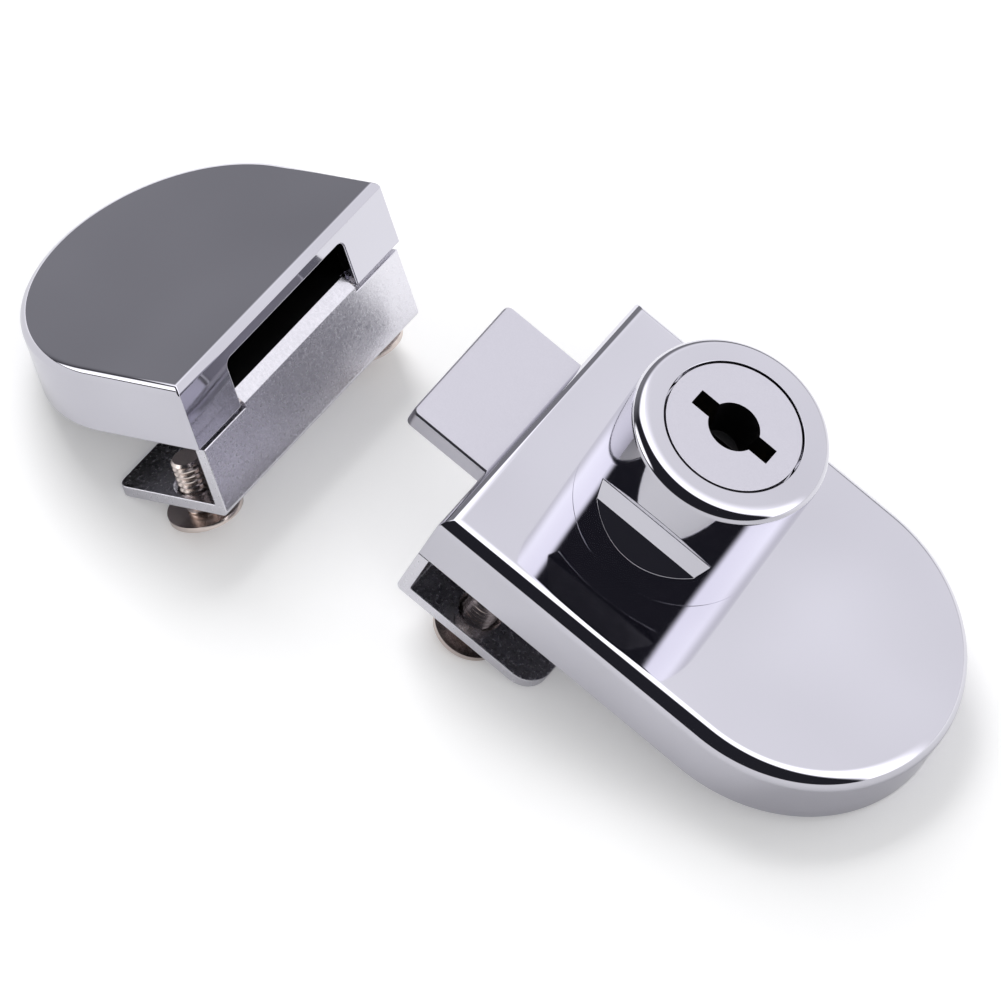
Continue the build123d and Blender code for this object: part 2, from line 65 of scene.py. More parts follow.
MM = 0.001
NEAR = 0.01
"""Millimetres within which a point counts as lying on a plane."""
FACING = 0.9
"""Share of its normal along an axis from which a face counts as looking that way."""
UPRIGHT = 1.0
"""Millimetres of height between its ends from which an edge counts as upright."""
PAST = 1.0
"""Millimetres by which a cutting tool reaches past the piece."""

Point = Sequence[float]
Range = tuple[float, float]
Colour = tuple[float, float, float]
Piece = bpy.types.Object
Tree = bpy.types.NodeTree
Socket = bpy.types.NodeSocket
PlaceTest = Callable[[Vector, Vector], bool]


def node(
    tree: Tree, kind: str, inputs: dict[str | int, Any] | None = None, **settings: Any
) -> bpy.types.Node:
    """Adds a node, sets its properties and then its inputs.

    Args:
        tree: The nodes that it joins.
        kind: Its type, without the leading "ShaderNode".
        inputs: For an input's name or number, the socket that feeds it or the value that it has.
        settings: Its properties.

    Returns:
        The node.
    """
    made = tree.nodes.new(f"ShaderNode{kind}")
    for name, value in settings.items():
        setattr(made, name, value)
    for key, value in (inputs or {}).items():
        if isinstance(value, bpy.types.NodeSocket):
            tree.links.new(value, made.inputs[key])
        else:
            made.inputs[key].default_value = value
    return made


def calculate(tree: Tree, operation: str, *values: Socket | float) -> Socket:
    """Calculates with numbers, by a Math node's operation."""
    return node(tree, "Math", dict(enumerate(values)), operation=operation).outputs[0]


def ramp(tree: Tree, value: Socket, ends: Range) -> Socket:
    """A soft step from 0 at the first end to 1 at the second."""
    inputs = {"Value": value, "From Min": ends[0], "From Max": ends[1]}
    return node(tree, "MapRange", inputs, interpolation_type="SMOOTHSTEP").outputs["Result"]


def mix(tree: Tree, share: Socket, first: Socket | Point, second: Socket | Point) -> Socket:
    """Mixes two colours with alpha, by the share of the second."""
    inputs = {"Factor": share, "A": first, "B": second}
    return node(tree, "Mix", inputs, data_type="RGBA").outputs["Result"]


class Slot(Enum):
    """Material slots of the record, and the near-black painted shade inside the castings and the
    keyhole.
    """

    POLISHED_CHROME = "polished_chrome"
    BENT_CHROME = "bent_chrome"
    SATIN_STEEL = "satin_steel"
    SCREW_NICKEL = "screw_nickel"
    INNER_STEEL = "inner_steel"
    WAFER_BRASS = "wafer_brass"
    RAW_INSIDE = "raw_inside"


class Pick(Enum):
    """What is picked on a mesh, and the select mode for it."""

    FACES = "FACE"
    EDGES = "EDGE"


class Way(Enum):
    """How a tool acts on a piece."""

    CUT = "DIFFERENCE"
    ADD = "UNION"


@dataclass(frozen=True)
class Finish:
    """A metal finish: two close tones, a range of gloss, slow waves and a fine grain.

    Waves and grain are counted per metre, and their heights are metres. The tones follow the
    grain, or the waves if slow_tones is set.
    """

    slot: Slot
    tone: Colour
    second_tone: Colour
    gloss: Range
    wave_count: float
    wave_height: float
    grain_count: float
    grain_height: float
    slow_tones: bool = False
    grain_detail: float = 3.0
    grain_middle: Range = (0.3, 0.7)

    def material(self) -> bpy.types.Material:
        """Builds the node material.

        Returns:
            The material, on Object coordinates.
        """
        made = bpy.data.materials.new(self.slot.value)
        made.use_nodes = True
        tree = made.node_tree
        place = node(tree, "TexCoord").outputs["Object"]
        waves, grain = (
            node(tree, "TexNoise", {"Vector": place, "Scale": scale, "Detail": detail}).outputs[0]
            for scale, detail in ((self.wave_count, 1.0), (self.grain_count, self.grain_detail))
        )
        tone_pattern = waves if self.slow_tones else grain
        colour = mix(tree, tone_pattern, (*self.tone, 1.0), (*self.second_tone, 1.0))
        ends = ("From Min", "From Max", "To Min", "To Max")
        spread = dict(zip(ends, self.grain_middle + self.gloss))
        rough = node(tree, "MapRange", {"Value": grain, **spread}).outputs["Result"]
        bump = {"Height": waves, "Distance": self.wave_height, "Strength": 1.0}
        slow = node(tree, "Bump", bump).outputs["Normal"]
        bump = {"Height": grain, "Distance": self.grain_height, "Strength": 1.0, "Normal": slow}
        fine = node(tree, "Bump", bump).outputs["Normal"]
        shader = tree.nodes["Principled BSDF"]
        shader.inputs["Metallic"].default_value = 1.0
        tree.links.new(colour, shader.inputs["Base Color"])
        tree.links.new(rough, shader.inputs["Roughness"])
        tree.links.new(fine, shader.inputs["Normal"])
        return made


FINISHES: tuple[Finish, ...] = (
    Finish(
        Slot.POLISHED_CHROME, (0.52, 0.512, 0.562), (0.69, 0.683, 0.748), gloss=(0.03, 0.06),
        wave_count=45.0, wave_height=1.3e-4, grain_count=900.0, grain_height=4.0e-8,
        slow_tones=True,
    ),
    Finish(
        Slot.BENT_CHROME, (0.66, 0.65, 0.70), (0.78, 0.77, 0.82), gloss=(0.17, 0.30),
        wave_count=120.0, wave_height=1.2e-4, grain_count=2600.0, grain_height=6.0e-6,
    ),
    Finish(
        Slot.SATIN_STEEL, (0.52, 0.51, 0.565), (0.58, 0.57, 0.625), gloss=(0.28, 0.38),
        wave_count=90.0, wave_height=4.0e-5, grain_count=5200.0, grain_height=1.6e-6,
    ),
    Finish(
        Slot.SCREW_NICKEL, (0.66, 0.57, 0.53), (0.76, 0.68, 0.64), gloss=(0.18, 0.26),
        wave_count=300.0, wave_height=1.0e-5, grain_count=4000.0, grain_height=4.0e-7,
    ),
    Finish(
        Slot.INNER_STEEL, (0.52, 0.52, 0.54), (0.60, 0.60, 0.62), gloss=(0.25, 0.40),
        wave_count=200.0, wave_height=2.0e-5, grain_count=4200.0, grain_height=2.0e-6,
    ),
    # Painted shade: near black, standing in for the shade inside the castings and the keyhole.
    Finish(
        Slot.RAW_INSIDE, (0.030, 0.030, 0.034), (0.060, 0.058, 0.060), gloss=(0.45, 0.60),
        wave_count=300.0, wave_height=5.0e-5, grain_count=3000.0, grain_height=8.0e-6,
    ),
    Finish(
        Slot.WAFER_BRASS, (0.80, 0.58, 0.24), (0.70, 0.50, 0.20), gloss=(0.18, 0.34),
        wave_count=300.0, wave_height=2.0e-5, grain_count=4200.0, grain_height=2.0e-6,
    ),
)


@dataclass(frozen=True)
class Placement:
    """Where a unit or the camera is: its origin and its axes in the shared frame."""

    origin: Vector
    along: Vector
    across: Vector
    out: Vector

    @classmethod
    def from_mounts(
        cls, record: dict[str, Any], unit: str, seat_place: float, side: float
    ) -> "Placement":
        """Reads a placement from a unit's two mounts.

        One is on the glass face and looks into the glass, the other is on the web and looks at
        the glass edge.

        Args:
            record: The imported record.
            unit: The unit's name.
            seat_place: How far along the unit the first mount's point lies, in millimetres.
            side: 1 where the unit reaches towards +X from its front, -1 where towards -X.

        Returns:
            The unit's placement.
        """
        mounts = {mount["name"]: mount for mount in record["mounts"]}
        seat = mounts[f"{unit}_glass_seat"]
        out = -Vector(seat["axis"])
        along = side * Vector(mounts[f"{unit}_glass_edge"]["axis"])
        origin = Vector(seat["pos_m"]) - seat_place * MM * along
        return cls(origin, along, out.cross(along), out)

    def matrix(self, measure: float = MM) -> Matrix:
        """Leads from places along these axes to the shared frame.

        Args:
            measure: Metres that one of their steps is long.

        Returns:
            The matrix.
        """
        columns = [*(measure * axis for axis in (self.along, self.across, self.out)), self.origin]
        rows = [[column[row] for column in columns] for row in range(3)]
        return Matrix((*rows, (0.0, 0.0, 0.0, 1.0)))


class Bench:
    """The modelling operators, each as one step at the bench."""

    @staticmethod
    def take(piece: Piece) -> None:
        """Selects one object alone and makes it active.

        Args:
            piece: The object.
        """
        bpy.ops.object.select_all(action="DESELECT")
        piece.select_set(True)
        bpy.context.view_layer.objects.active = piece

    @classmethod
    @contextmanager
    def editing(cls, piece: Piece) -> Iterator[Piece]:
        """Opens an object in edit mode, with nothing selected.

        Args:
            piece: The piece.

        Yields:
            The same object.
        """
        cls.take(piece)
        bpy.ops.object.mode_set(mode="EDIT")
        bpy.ops.mesh.select_all(action="DESELECT")
        yield piece
        bpy.ops.object.mode_set(mode="OBJECT")

    @staticmethod
    def pick(piece: Piece, what: Pick, test: PlaceTest) -> None:
        """Selects the faces or edges that pass a test, and nothing else.

        Args:
            piece: The piece in edit mode.
            what: Faces or edges.
            test: Takes a face's centre and normal, or an edge's two ends.
        """
        bpy.ops.mesh.select_all(action="DESELECT")
        bpy.ops.mesh.select_mode(type=what.value)
        mesh = bmesh.from_edit_mesh(piece.data)
        if what is Pick.FACES:
            chosen = [face for face in mesh.faces if test(face.calc_center_median(), face.normal)]
        else:
            chosen = [edge for edge in mesh.edges if test(*(end.co for end in edge.verts))]
        for part in chosen:
            part.select_set(True)
        bmesh.update_edit_mesh(piece.data)

    @staticmethod
    def extrude(move: Point) -> None:
        """Extrudes the selected faces."""
        bpy.ops.mesh.extrude_region_move(TRANSFORM_OT_translate={"value": move})

    @staticmethod
    def turn_outward() -> None:
        """Turns all normals of the open mesh outward."""
        bpy.ops.mesh.select_all(action="SELECT")
        bpy.ops.mesh.normals_make_consistent(inside=False)

    @staticmethod
    def trim(place: Point, direction: Point, **side: bool) -> None:
        """Cuts the open mesh on a plane, drops the side that is named and closes the cut."""
        bpy.ops.mesh.select_all(action="SELECT")
        bpy.ops.mesh.bisect(plane_co=place, plane_no=direction, use_fill=True, **side)

    @staticmethod
    def settle(name: str) -> Piece:
        """Names the new primitive and writes its place into its mesh.

        Args:
            name: Its name.

        Returns:
            The object, at the origin.
        """
        piece = bpy.context.object
        piece.name = name
        bpy.ops.object.transform_apply(location=True, rotation=True, scale=True)
        return piece

    @classmethod
    def block(cls, name: str, low: Point, high: Point) -> Piece:
        """Adds a box between two corners.

        Args:
            name: Its name.
            low: The lowest corner.
            high: The highest corner.

        Returns:
            The box.
        """
        middle = [(a + b) / 2 for a, b in zip(low, high)]
        size = [b - a for a, b in zip(low, high)]
        bpy.ops.mesh.primitive_cube_add(size=1.0, location=middle, scale=size)
        return cls.settle(name)

    @classmethod
    def post(
        cls, name: str, radius: float, centre: Point, ends: Range, sides: int = 96,
        upper_radius: float | None = None,
    ) -> Piece:
        """Adds an upright cylinder, or a cone with two flat ends.

        Args:
            name: Its name.
            radius: Its radius, at the lower end if it is a cone.
            centre: X and Y of its axis.
            ends: Heights of its two ends.
            sides: Number of its flats.
            upper_radius: Radius of a cone's upper end.

        Returns:
            The post.
        """
        low, high = ends
        shape = {"vertices": sides, "depth": high - low, "location": (*centre, (low + high) / 2)}
        if upper_radius is None:
            bpy.ops.mesh.primitive_cylinder_add(radius=radius, **shape)
        else:
            bpy.ops.mesh.primitive_cone_add(radius1=radius, radius2=upper_radius, **shape)
        return cls.settle(name)

    @classmethod
    def hollow(cls, piece: Piece, wall: float, rise: float) -> None:
        """Hollows a slab from its lower face at z = 0.

        Args:
            piece: The slab.
            wall: Thickness of the side wall.
            rise: Depth of the hollow.
        """
        with cls.editing(piece):
            cls.pick(
                piece,
                Pick.FACES,
                lambda centre, normal: normal.z < -FACING and abs(centre.z) < NEAR,
            )
            bpy.ops.mesh.inset(thickness=wall)
            cls.extrude((0.0, 0.0, rise))

    @classmethod
    def round_edges(cls, piece: Piece, test: PlaceTest, radius: float, steps: int) -> None:
        """Rounds the edges that pass a test.

        Args:
            piece: The piece.
            test: Takes an edge's two ends.
            radius: Radius of the rounding.
            steps: Number of its flats.
        """
        with cls.editing(piece):
            cls.pick(piece, Pick.EDGES, test)
            bpy.ops.mesh.bevel(
                offset=radius, offset_type="OFFSET", segments=steps, profile=0.5, affect="EDGES"
            )

    @classmethod
    def combine(cls, piece: Piece, tool: Piece, way: Way = Way.CUT) -> None:
        """Cuts a tool out of a piece, or joins it on, and clears the tool away.

        Args:
            piece: The piece.
            tool: The other object.
            way: Whether it cuts or joins.
        """
        cls.take(piece)
        step = piece.modifiers.new("combine", "BOOLEAN")
        step.operation = way.value
        step.solver = "EXACT"
        step.object = tool
        bpy.ops.object.modifier_apply(modifier=step.name)
        bpy.data.objects.remove(tool)

    @classmethod
    def countersink(cls, piece: Piece, place: Point) -> None:
        """Cuts a flat-headed screw's seat into a plate's lower face at z = 0."""
        head, shank, below, depth = 2.8, 1.5, 0.3, 1.0
        cls.combine(piece, cls.post("sink", head, place, (-below, depth), 64, shank))

    @classmethod
    def join(cls, piece: Piece, *others: Piece) -> Piece:
        """Joins closed shells into one object.

        Args:
            piece: The object that stays.
            others: The objects that go into it.

        Returns:
            The joined object.
        """
        cls.take(piece)
        for other in others:
            other.select_set(True)
        bpy.ops.object.join()
        return piece

    @classmethod
    def ease(cls, piece: Piece, radius: float, steps: int = 2, angle: float = 40.0) -> None:
        """Eases every edge sharper than an angle.

        Args:
            piece: The piece.
            radius: Radius of the easing.
            steps: Number of its flats.
            angle: Sharpest angle that stays, in degrees.
        """
        cls.take(piece)
        step = piece.modifiers.new("ease", "BEVEL")
        step.width = radius
        step.segments = steps
        step.limit_method = "ANGLE"
        step.angle_limit = math.radians(angle)
        step.miter_outer = "MITER_ARC"
        bpy.ops.object.modifier_apply(modifier=step.name)

    @classmethod
    def line(cls, name: str, points: Sequence[Point]) -> Piece:
        """Draws a chain of edges from point to point.

        Args:
            name: Its name.
            points: The chain's points.

        Returns:
            The object with the chain.
        """
        bpy.ops.mesh.primitive_plane_add(size=1.0, location=points[0])
        chain = cls.settle(name)
        with cls.editing(chain):
            bpy.ops.mesh.select_mode(type="VERT")
            bpy.ops.mesh.select_all(action="SELECT")
            bpy.ops.mesh.merge(type="CENTER")
            for start, end in zip(points, points[1:]):
                step = [b - a for a, b in zip(start, end)]
                bpy.ops.mesh.extrude_vertices_move(TRANSFORM_OT_translate={"value": step})
        return chain


@dataclass(frozen=True)
class Outline:
    """A plan with a square front at x = 0 and a half-round rear, reaching towards +X."""

    half_width: float
    straight: float
    round_depth: float

    def slab(self, name: str, height: float) -> Piece:
        """Models a slab of this plan on z = 0.

        Args:
            name: Its name.
            height: Its thickness.

        Returns:
            The slab.
        """
        bpy.ops.mesh.primitive_cylinder_add(
            vertices=256,
            radius=self.half_width,
            depth=height,
            location=(self.straight, 0.0, height / 2),
            scale=(self.round_depth / self.half_width, 1.0, 1.0),
        )
        slab = Bench.settle(name)
        with Bench.editing(slab):
            Bench.trim((self.straight, 0.0, 0.0), (1.0, 0.0, 0.0), clear_inner=True)
            Bench.pick(slab, Pick.FACES, lambda centre, normal: normal.x < -FACING)
            Bench.extrude((-self.straight, 0.0, 0.0))
            Bench.turn_outward()
            bpy.ops.mesh.dissolve_limited(angle_limit=math.radians(0.05))
        return slab

    def inside(self, wall: float, ceiling: float) -> PlaceTest:
        """Makes a test for the inner faces of a hollowed slab.

        Args:
            wall: Thickness of the slab's side wall.
            ceiling: Height of its ceiling.

        Returns:
            The test, on a face's centre and normal.
        """
        inset = 0.7 * wall
        rim = 0.05

        def test(centre: Vector, normal: Vector) -> bool:
            """Whether a face with this centre is an inner one; its normal isn't needed."""
            across = abs(centre.y) / (self.half_width - inset)
            along = max(centre.x - self.straight, 0.0) / (self.round_depth - inset)
            low_enough = rim < centre.z < ceiling + NEAR
            return low_enough and centre.x > inset and math.hypot(across, along) < 1.0

        return test


@dataclass
class Workshop:
    """What every sub-assembly needs to dress a piece: its placement and the materials."""

    placement: Placement
    materials: dict[Slot, bpy.types.Material]
    smooth_angle: float = 32.0
    area_weight: int = 80

    def dress(
        self,
        piece: Piece,
        slot: Slot,
        body: str,
        *nodes: str,
        inside: PlaceTest | None = None,
    ) -> None:
        """Lays a finished piece in the shared frame, smooths it and gives it its finish.

        Args:
            piece: The piece, in its unit's millimetres.
            slot: Its finish.
            body: The body that it rides on.
            nodes: The frame nodes that it stands for.
            inside: Takes a face's centre and normal, and picks the faces that get the near-black
                painted shade.
        """
        Bench.take(piece)
        # The faces that the test picks get the near-black painted shade as a second material.
        painted_shade_faces = []
        if inside is not None:
            painted_shade_faces = [int(inside(face.center, face.normal)) for face in piece.data.polygons]
        piece.data.transform(self.placement.matrix())
        bpy.ops.object.shade_smooth_by_angle(angle=math.radians(self.smooth_angle))
        weigh = piece.modifiers.new("weigh", "WEIGHTED_NORMAL")
        weigh.keep_sharp = True
        weigh.weight = self.area_weight
        bpy.ops.object.modifier_apply(modifier=weigh.name)
        piece.data.materials.clear()
        piece.data.materials.append(self.materials[slot])
        if painted_shade_faces:
            piece.data.materials.append(self.materials[Slot.RAW_INSIDE])
            piece.data.polygons.foreach_set("material_index", painted_shade_faces)
        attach(piece, body)
        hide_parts(*nodes)
        faces = len(piece.data.polygons)
        log.info("%s: %d faces, %s, rides on %s", piece.name, faces, slot.value, body)

    def add_clamp_screws(
        self, unit: str, clamp: "ClampSheet", reach: float, turns: Range
    ) -> None:
        """Models and dresses a unit's near and far clamp screws.

        Args:
            unit: The unit's name.
            clamp: The sheet that they go through.
            reach: 1 where the unit reaches towards +X from its front, -1 where towards -X.
            turns: How far the cross of the near and of the far screw is turned, in degrees.
        """
        for side, sign, turn in zip(("near", "far"), (-1.0, 1.0), turns):
            name = f"{unit}_glass_screw_{side}"
            seat = clamp.low - clamp.unscrewed
            place = (reach * clamp.screw_place, sign * clamp.screw_side, seat)
            screw = ClampScrew(turn=turn).build(name, place)
            body = f"{unit}_screw_{side}"
            self.dress(screw, Slot.SCREW_NICKEL, body, f"{unit}_clamp_screw_{side}")


@dataclass
class ClampScrew:
    """Screw that presses the glass: a domed head with a cross, and a thread with an eased tip."""

    turn: float
    thread_radius: float = 2.0
    thread_depth: float = 0.38
    pitch: float = 0.7
    turn_steps: int = 40
    length: float = 6.6
    overlap: float = 0.1
    tip_height: float = 0.3
    tip_share: float = 0.85
    head_radius: float = 4.3
    head_edge: float = 0.7
    seat_gap: float = 0.03
    ball_steps: int = 72
    dome_height: float = 0.5
    cross_length: float = 4.2
    cross_width: float = 0.9
    cross_depth: float = 0.9

    def build(self, name: str, place: Point) -> Piece:
        """Models the screw with the seat of its head at the given place.

        Args:
            name: Its name.
            place: X, Y and Z of the seat.

        Returns:
            The screw.
        """
        head = self._head(name)
        screw = Bench.join(head, self._thread())
        screw.data.transform(Matrix.Translation(place))
        return screw

    def _head(self, name: str) -> Piece:
        """The domed head with its cross.

        Args:
            name: Its name.

        Returns:
            The head, seat at z = 0.
        """
        ball = (self.head_radius**2 + self.dome_height**2) / (2 * self.dome_height)
        top = -(self.head_edge + self.dome_height)
        bpy.ops.mesh.primitive_uv_sphere_add(
            segments=self.ball_steps,
            ring_count=self.ball_steps,
            radius=ball,
            location=(0.0, 0.0, top + ball),
        )
        head = Bench.settle(name)
        with Bench.editing(head):
            Bench.trim((0.0, 0.0, -self.head_edge), (0.0, 0.0, 1.0), clear_outer=True)
            Bench.pick(
                head, Pick.FACES, lambda centre, normal: abs(centre.z + self.head_edge) < NEAR
            )
            Bench.extrude((0.0, 0.0, self.head_edge - self.seat_gap))
            Bench.turn_outward()
        for quarter in (0.0, 90.0):
            reach = self.cross_length / 2
            half = self.cross_width / 2
            recess = Bench.block(
                "recess", (-reach, -half, top - PAST), (reach, half, top + self.cross_depth)
            )
            recess.data.transform(Matrix.Rotation(math.radians(quarter + self.turn), 4, "Z"))
            Bench.combine(head, recess)
        Bench.ease(head, 0.12, 2, 30.0)
        return head

    def _thread(self) -> Piece:
        """The helical thread, cut off square at both ends, with an eased tip.

        Returns:
            The thread, from just inside the head up.
        """
        core = self.thread_radius - self.thread_depth
        crest = self.pitch / 10
        points = [
            (core, 0.0, 0.0),
            (self.thread_radius, 0.0, self.pitch / 2 - crest),
            (self.thread_radius, 0.0, self.pitch / 2 + crest),
            (core, 0.0, self.pitch),
        ]
        turns = math.ceil(self.length / self.pitch) + 2
        tooth = Bench.line("thread", points)
        wind = tooth.modifiers.new("wind", "SCREW")
        wind.axis = "Z"
        wind.steps = self.turn_steps
        wind.render_steps = self.turn_steps
        wind.screw_offset = self.pitch
        wind.iterations = turns
        Bench.take(tooth)
        bpy.ops.object.modifier_apply(modifier=wind.name)
        tooth.data.transform(Matrix.Translation((0.0, 0.0, -self.pitch)))
        tip = self.length - self.tip_height
        with Bench.editing(tooth):
            bpy.ops.mesh.select_all(action="SELECT")
            bpy.ops.mesh.remove_doubles(threshold=0.002)
            Bench.trim((0.0, 0.0, -self.overlap), (0.0, 0.0, -1.0), clear_outer=True)
            Bench.trim((0.0, 0.0, tip), (0.0, 0.0, 1.0), clear_outer=True)
            Bench.pick(tooth, Pick.FACES, lambda centre, normal: abs(centre.z - tip) < 0.1 * NEAR)
            Bench.extrude((0.0, 0.0, self.tip_height))
            bpy.ops.transform.resize(value=(self.tip_share, self.tip_share, 1.0))
            Bench.turn_outward()
        return tooth


@dataclass(frozen=True)
class ClampSheet:
    """Web and clamp flange of a bracket, bent from one sheet, with a hole for each clamp screw."""

    sheet: float
    width: float
    drop: float
    glass_gap: float
    flange_depth: float
    corner: float
    corner_steps: int
    screw_place: float
    screw_side: float
    unscrewed: float
    bend: float = 0.8
    bend_steps: int = 8
    eased: float = 0.35
    hole_radius: float = 2.08
    mouth_radius: float = 3.58
    mouth_depth: float = 0.5

    @property
    def low(self) -> float:
        """Height of the flange's lower face."""
        return -(self.glass_gap + self.sheet)

    def fold(self, name: str) -> Piece:
        """Models the web and the flange.

        Args:
            name: Its name.

        Returns:
            The bracket, without its holes.
        """
        half = self.width / 2
        bracket = Bench.block(name, (0.0, -half, self.low), (self.sheet, half, -self.drop))
        flange = Bench.block(
            "flange", (0.0, -half, self.low), (self.flange_depth, half, -self.glass_gap)
        )
        Bench.combine(bracket, flange, Way.ADD)
        rear = self.flange_depth - NEAR
        Bench.round_edges(
            bracket,
            lambda a, b: min(a.x, b.x) > rear and abs(a.z - b.z) > UPRIGHT,
            self.corner,
            self.corner_steps,
        )
        Bench.round_edges(
            bracket,
            lambda a, b: max(a.x, b.x) < NEAR and max(a.z, b.z) < self.low + NEAR,
            self.bend,
            self.bend_steps,
        )
        Bench.ease(bracket, self.eased, 4)
        return bracket

    def drill(self, bracket: Piece) -> None:
        """Cuts the holes for the clamp screws, with a wide mouth on the glass side.

        Args:
            bracket: The bracket.
        """
        upper = -self.glass_gap
        for side in (-self.screw_side, self.screw_side):
            place = (self.screw_place, side)
            ends = (self.low - PAST, upper + PAST)
            Bench.combine(bracket, Bench.post("hole", self.hole_radius, place, ends, 64))
            ends = (upper - self.mouth_depth, upper + PAST)
            mouth = Bench.post("mouth", self.hole_radius, place, ends, 64, self.mouth_radius)
            Bench.combine(bracket, mouth)


@dataclass
class LockUnit:
    """The lock unit's casing, barrel, key plug, bracket and clamp screws."""

    shop: Workshop
    width: float = 40.0
    length: float = 56.8
    height: float = 7.8
    wall: float = 1.6
    edge_round: float = 1.9
    barrel_place: float = 18.3
    barrel_radius: float = 11.4
    barrel_height: float = 19.99
    rim_round: float = 1.2
    crown_width: float = 2.0
    crown_rise: float = 0.22
    recess_radius: float = 8.1
    recess_depth: float = 2.4
    plug_head_radius: float = 7.85
    plug_head_height: float = 2.2
    plug_sink: float = 0.05
    plug_radius: float = 6.0
    bore_gap: float = 0.1
    keyway_length: float = 10.4
    keyway_width: float = 2.2
    keyway_floor: float = 1.6
    keyway_edge: float = 0.2
    dish_radius: float = 3.0
    dish_floor_radius: float = 2.3
    dish_depth: float = 5.0
    scoop_wall: float = 8.5
    scoop_lean: float = 0.6
    scoop_low: float = 6.2
    scoop_high: float = 8.9
    scoop_low_slope: float = 40.0
    scoop_high_slope: float = 58.0
    scoop_outside: float = 3.0
    clamp: ClampSheet = ClampSheet(
        sheet=1.5, width=40.0, drop=0.0, glass_gap=6.2, flange_depth=19.1, corner=3.0,
        corner_steps=8, screw_place=8.9, screw_side=16.3, unscrewed=1.5,
    )
    plate_gap: float = 0.15
    plate_screws: tuple[Range, ...] = ((8.0, -15.2), (8.0, 15.2), (44.5, -8.0), (44.5, 8.0))
    tail_hole_radius: float = 2.85
    slot_width: float = 19.46
    slot_low: float = 2.62
    slot_high: float = 5.38
    cross_turn: float = 20.0

    @property
    def outline(self) -> Outline:
        """The casing's plan."""
        half = self.width / 2
        return Outline(half, self.length - half, half)

    def build(self) -> None:
        """Models and dresses every piece of the unit."""
        # The casing's inner faces get the near-black painted shade.
        self.shop.dress(
            self.casing(),
            Slot.POLISHED_CHROME,
            "lock",
            "lock_casing",
            inside=self.outline.inside(self.wall, self.height - self.wall),
        )
        self.shop.dress(self.barrel(), Slot.POLISHED_CHROME, "lock", "lock_barrel")
        # The faces in the keyway and the dish, below the rim, get the near-black painted shade.
        rim = self.height + self.barrel_height - self.plug_sink - self.keyway_edge
        reach = self.keyway_length / 2 + self.keyway_edge
        self.shop.dress(
            self.plug(),
            Slot.SATIN_STEEL,
            "plug",
            "key_plug",
            inside=lambda centre, normal: centre.z < rim
            and math.hypot(centre.x - self.barrel_place, centre.y) < reach,
        )
        self.shop.dress(self.bracket(), Slot.BENT_CHROME, "lock", "lock_bracket")
        turns = (self.cross_turn, self.cross_turn)
        self.shop.add_clamp_screws("lock", self.clamp, 1.0, turns)

    def casing(self) -> Piece:
        """Hollow casting with a round rear and a slot for the bolt.

        Returns:
            The casing.
        """
        casing = self.outline.slab("lock_cover", self.height)
        Bench.hollow(casing, self.wall, self.height - self.wall)
        top = self.height - NEAR
        Bench.round_edges(casing, lambda a, b: min(a.z, b.z) > top, self.edge_round, 12)
        reach = self.slot_width / 2
        plate = self.width / 2 - self.wall
        through = self.wall + PAST / 2
        mouth = Bench.block(
            "mouth", (-PAST, -reach, self.slot_low), (through, reach, self.slot_high)
        )
        Bench.combine(casing, mouth)
        gate = Bench.block("gate", (-PAST, -plate, -PAST), (through, plate, self.clamp.sheet))
        Bench.combine(casing, gate)
        Bench.ease(casing, 0.15)
        return casing

    def barrel(self) -> Piece:
        """Round barrel with a slightly crowned ring, a bore for the plug and two finger scoops.

        Returns:
            The barrel.
        """
        centre = (self.barrel_place, 0.0)
        top = self.height + self.barrel_height
        rim = top - self.crown_rise
        barrel = Bench.post("key_barrel", self.barrel_radius, centre, (self.height, rim), 192)
        with Bench.editing(barrel):
            Bench.pick(barrel, Pick.FACES, lambda centre, normal: normal.z > FACING)
            bpy.ops.mesh.inset(thickness=self.crown_width)
            bpy.ops.transform.translate(value=(0.0, 0.0, self.crown_rise))
        Bench.round_edges(
            barrel, lambda a, b: max(abs(a.z - rim), abs(b.z - rim)) < NEAR, self.rim_round, 10
        )
        ends = (top - self.recess_depth, top + PAST)
        Bench.combine(barrel, Bench.post("well", self.recess_radius, centre, ends, 192))
        radius = self.plug_radius + self.bore_gap
        Bench.combine(barrel, Bench.post("bore", radius, centre, (self.height - PAST, top)))
        for sign in (-1.0, 1.0):
            Bench.combine(barrel, self._scoop(sign))
        Bench.ease(barrel, 0.22, 3, 20.0)
        return barrel

    def _scoop(self, sign: float) -> Piece:
        """The space of one finger scoop: a leaning flat wall between two slopes.

        Args:
            sign: 1 for the far side, -1 for the near side.

        Returns:
            The space as a solid.
        """
        outside = self.barrel_radius + self.scoop_outside
        run = outside - self.scoop_wall
        low = self.height + self.scoop_low
        high = self.height + self.scoop_high
        drop = (run - self.scoop_lean) * math.tan(math.radians(self.scoop_low_slope))
        rise = run * math.tan(math.radians(self.scoop_high_slope))
        reach = self.barrel_radius + PAST
        inner = sign * self.scoop_wall
        outer = sign * outside
        scoop = Bench.block(
            "scoop",
            (self.barrel_place - reach, min(inner, outer), low),
            (self.barrel_place + reach, max(inner, outer), high),
        )
        with Bench.editing(scoop):
            for y, z, move in (
                (outer, low, (0.0, 0.0, -drop)),
                (outer, high, (0.0, 0.0, rise)),
                (inner, low, (0.0, sign * self.scoop_lean, 0.0)),
            ):
                Bench.pick(
                    scoop,
                    Pick.EDGES,
                    lambda a, b: max(abs(end.y - y) + abs(end.z - z) for end in (a, b)) < NEAR,
                )
                bpy.ops.transform.translate(value=move)
        return scoop

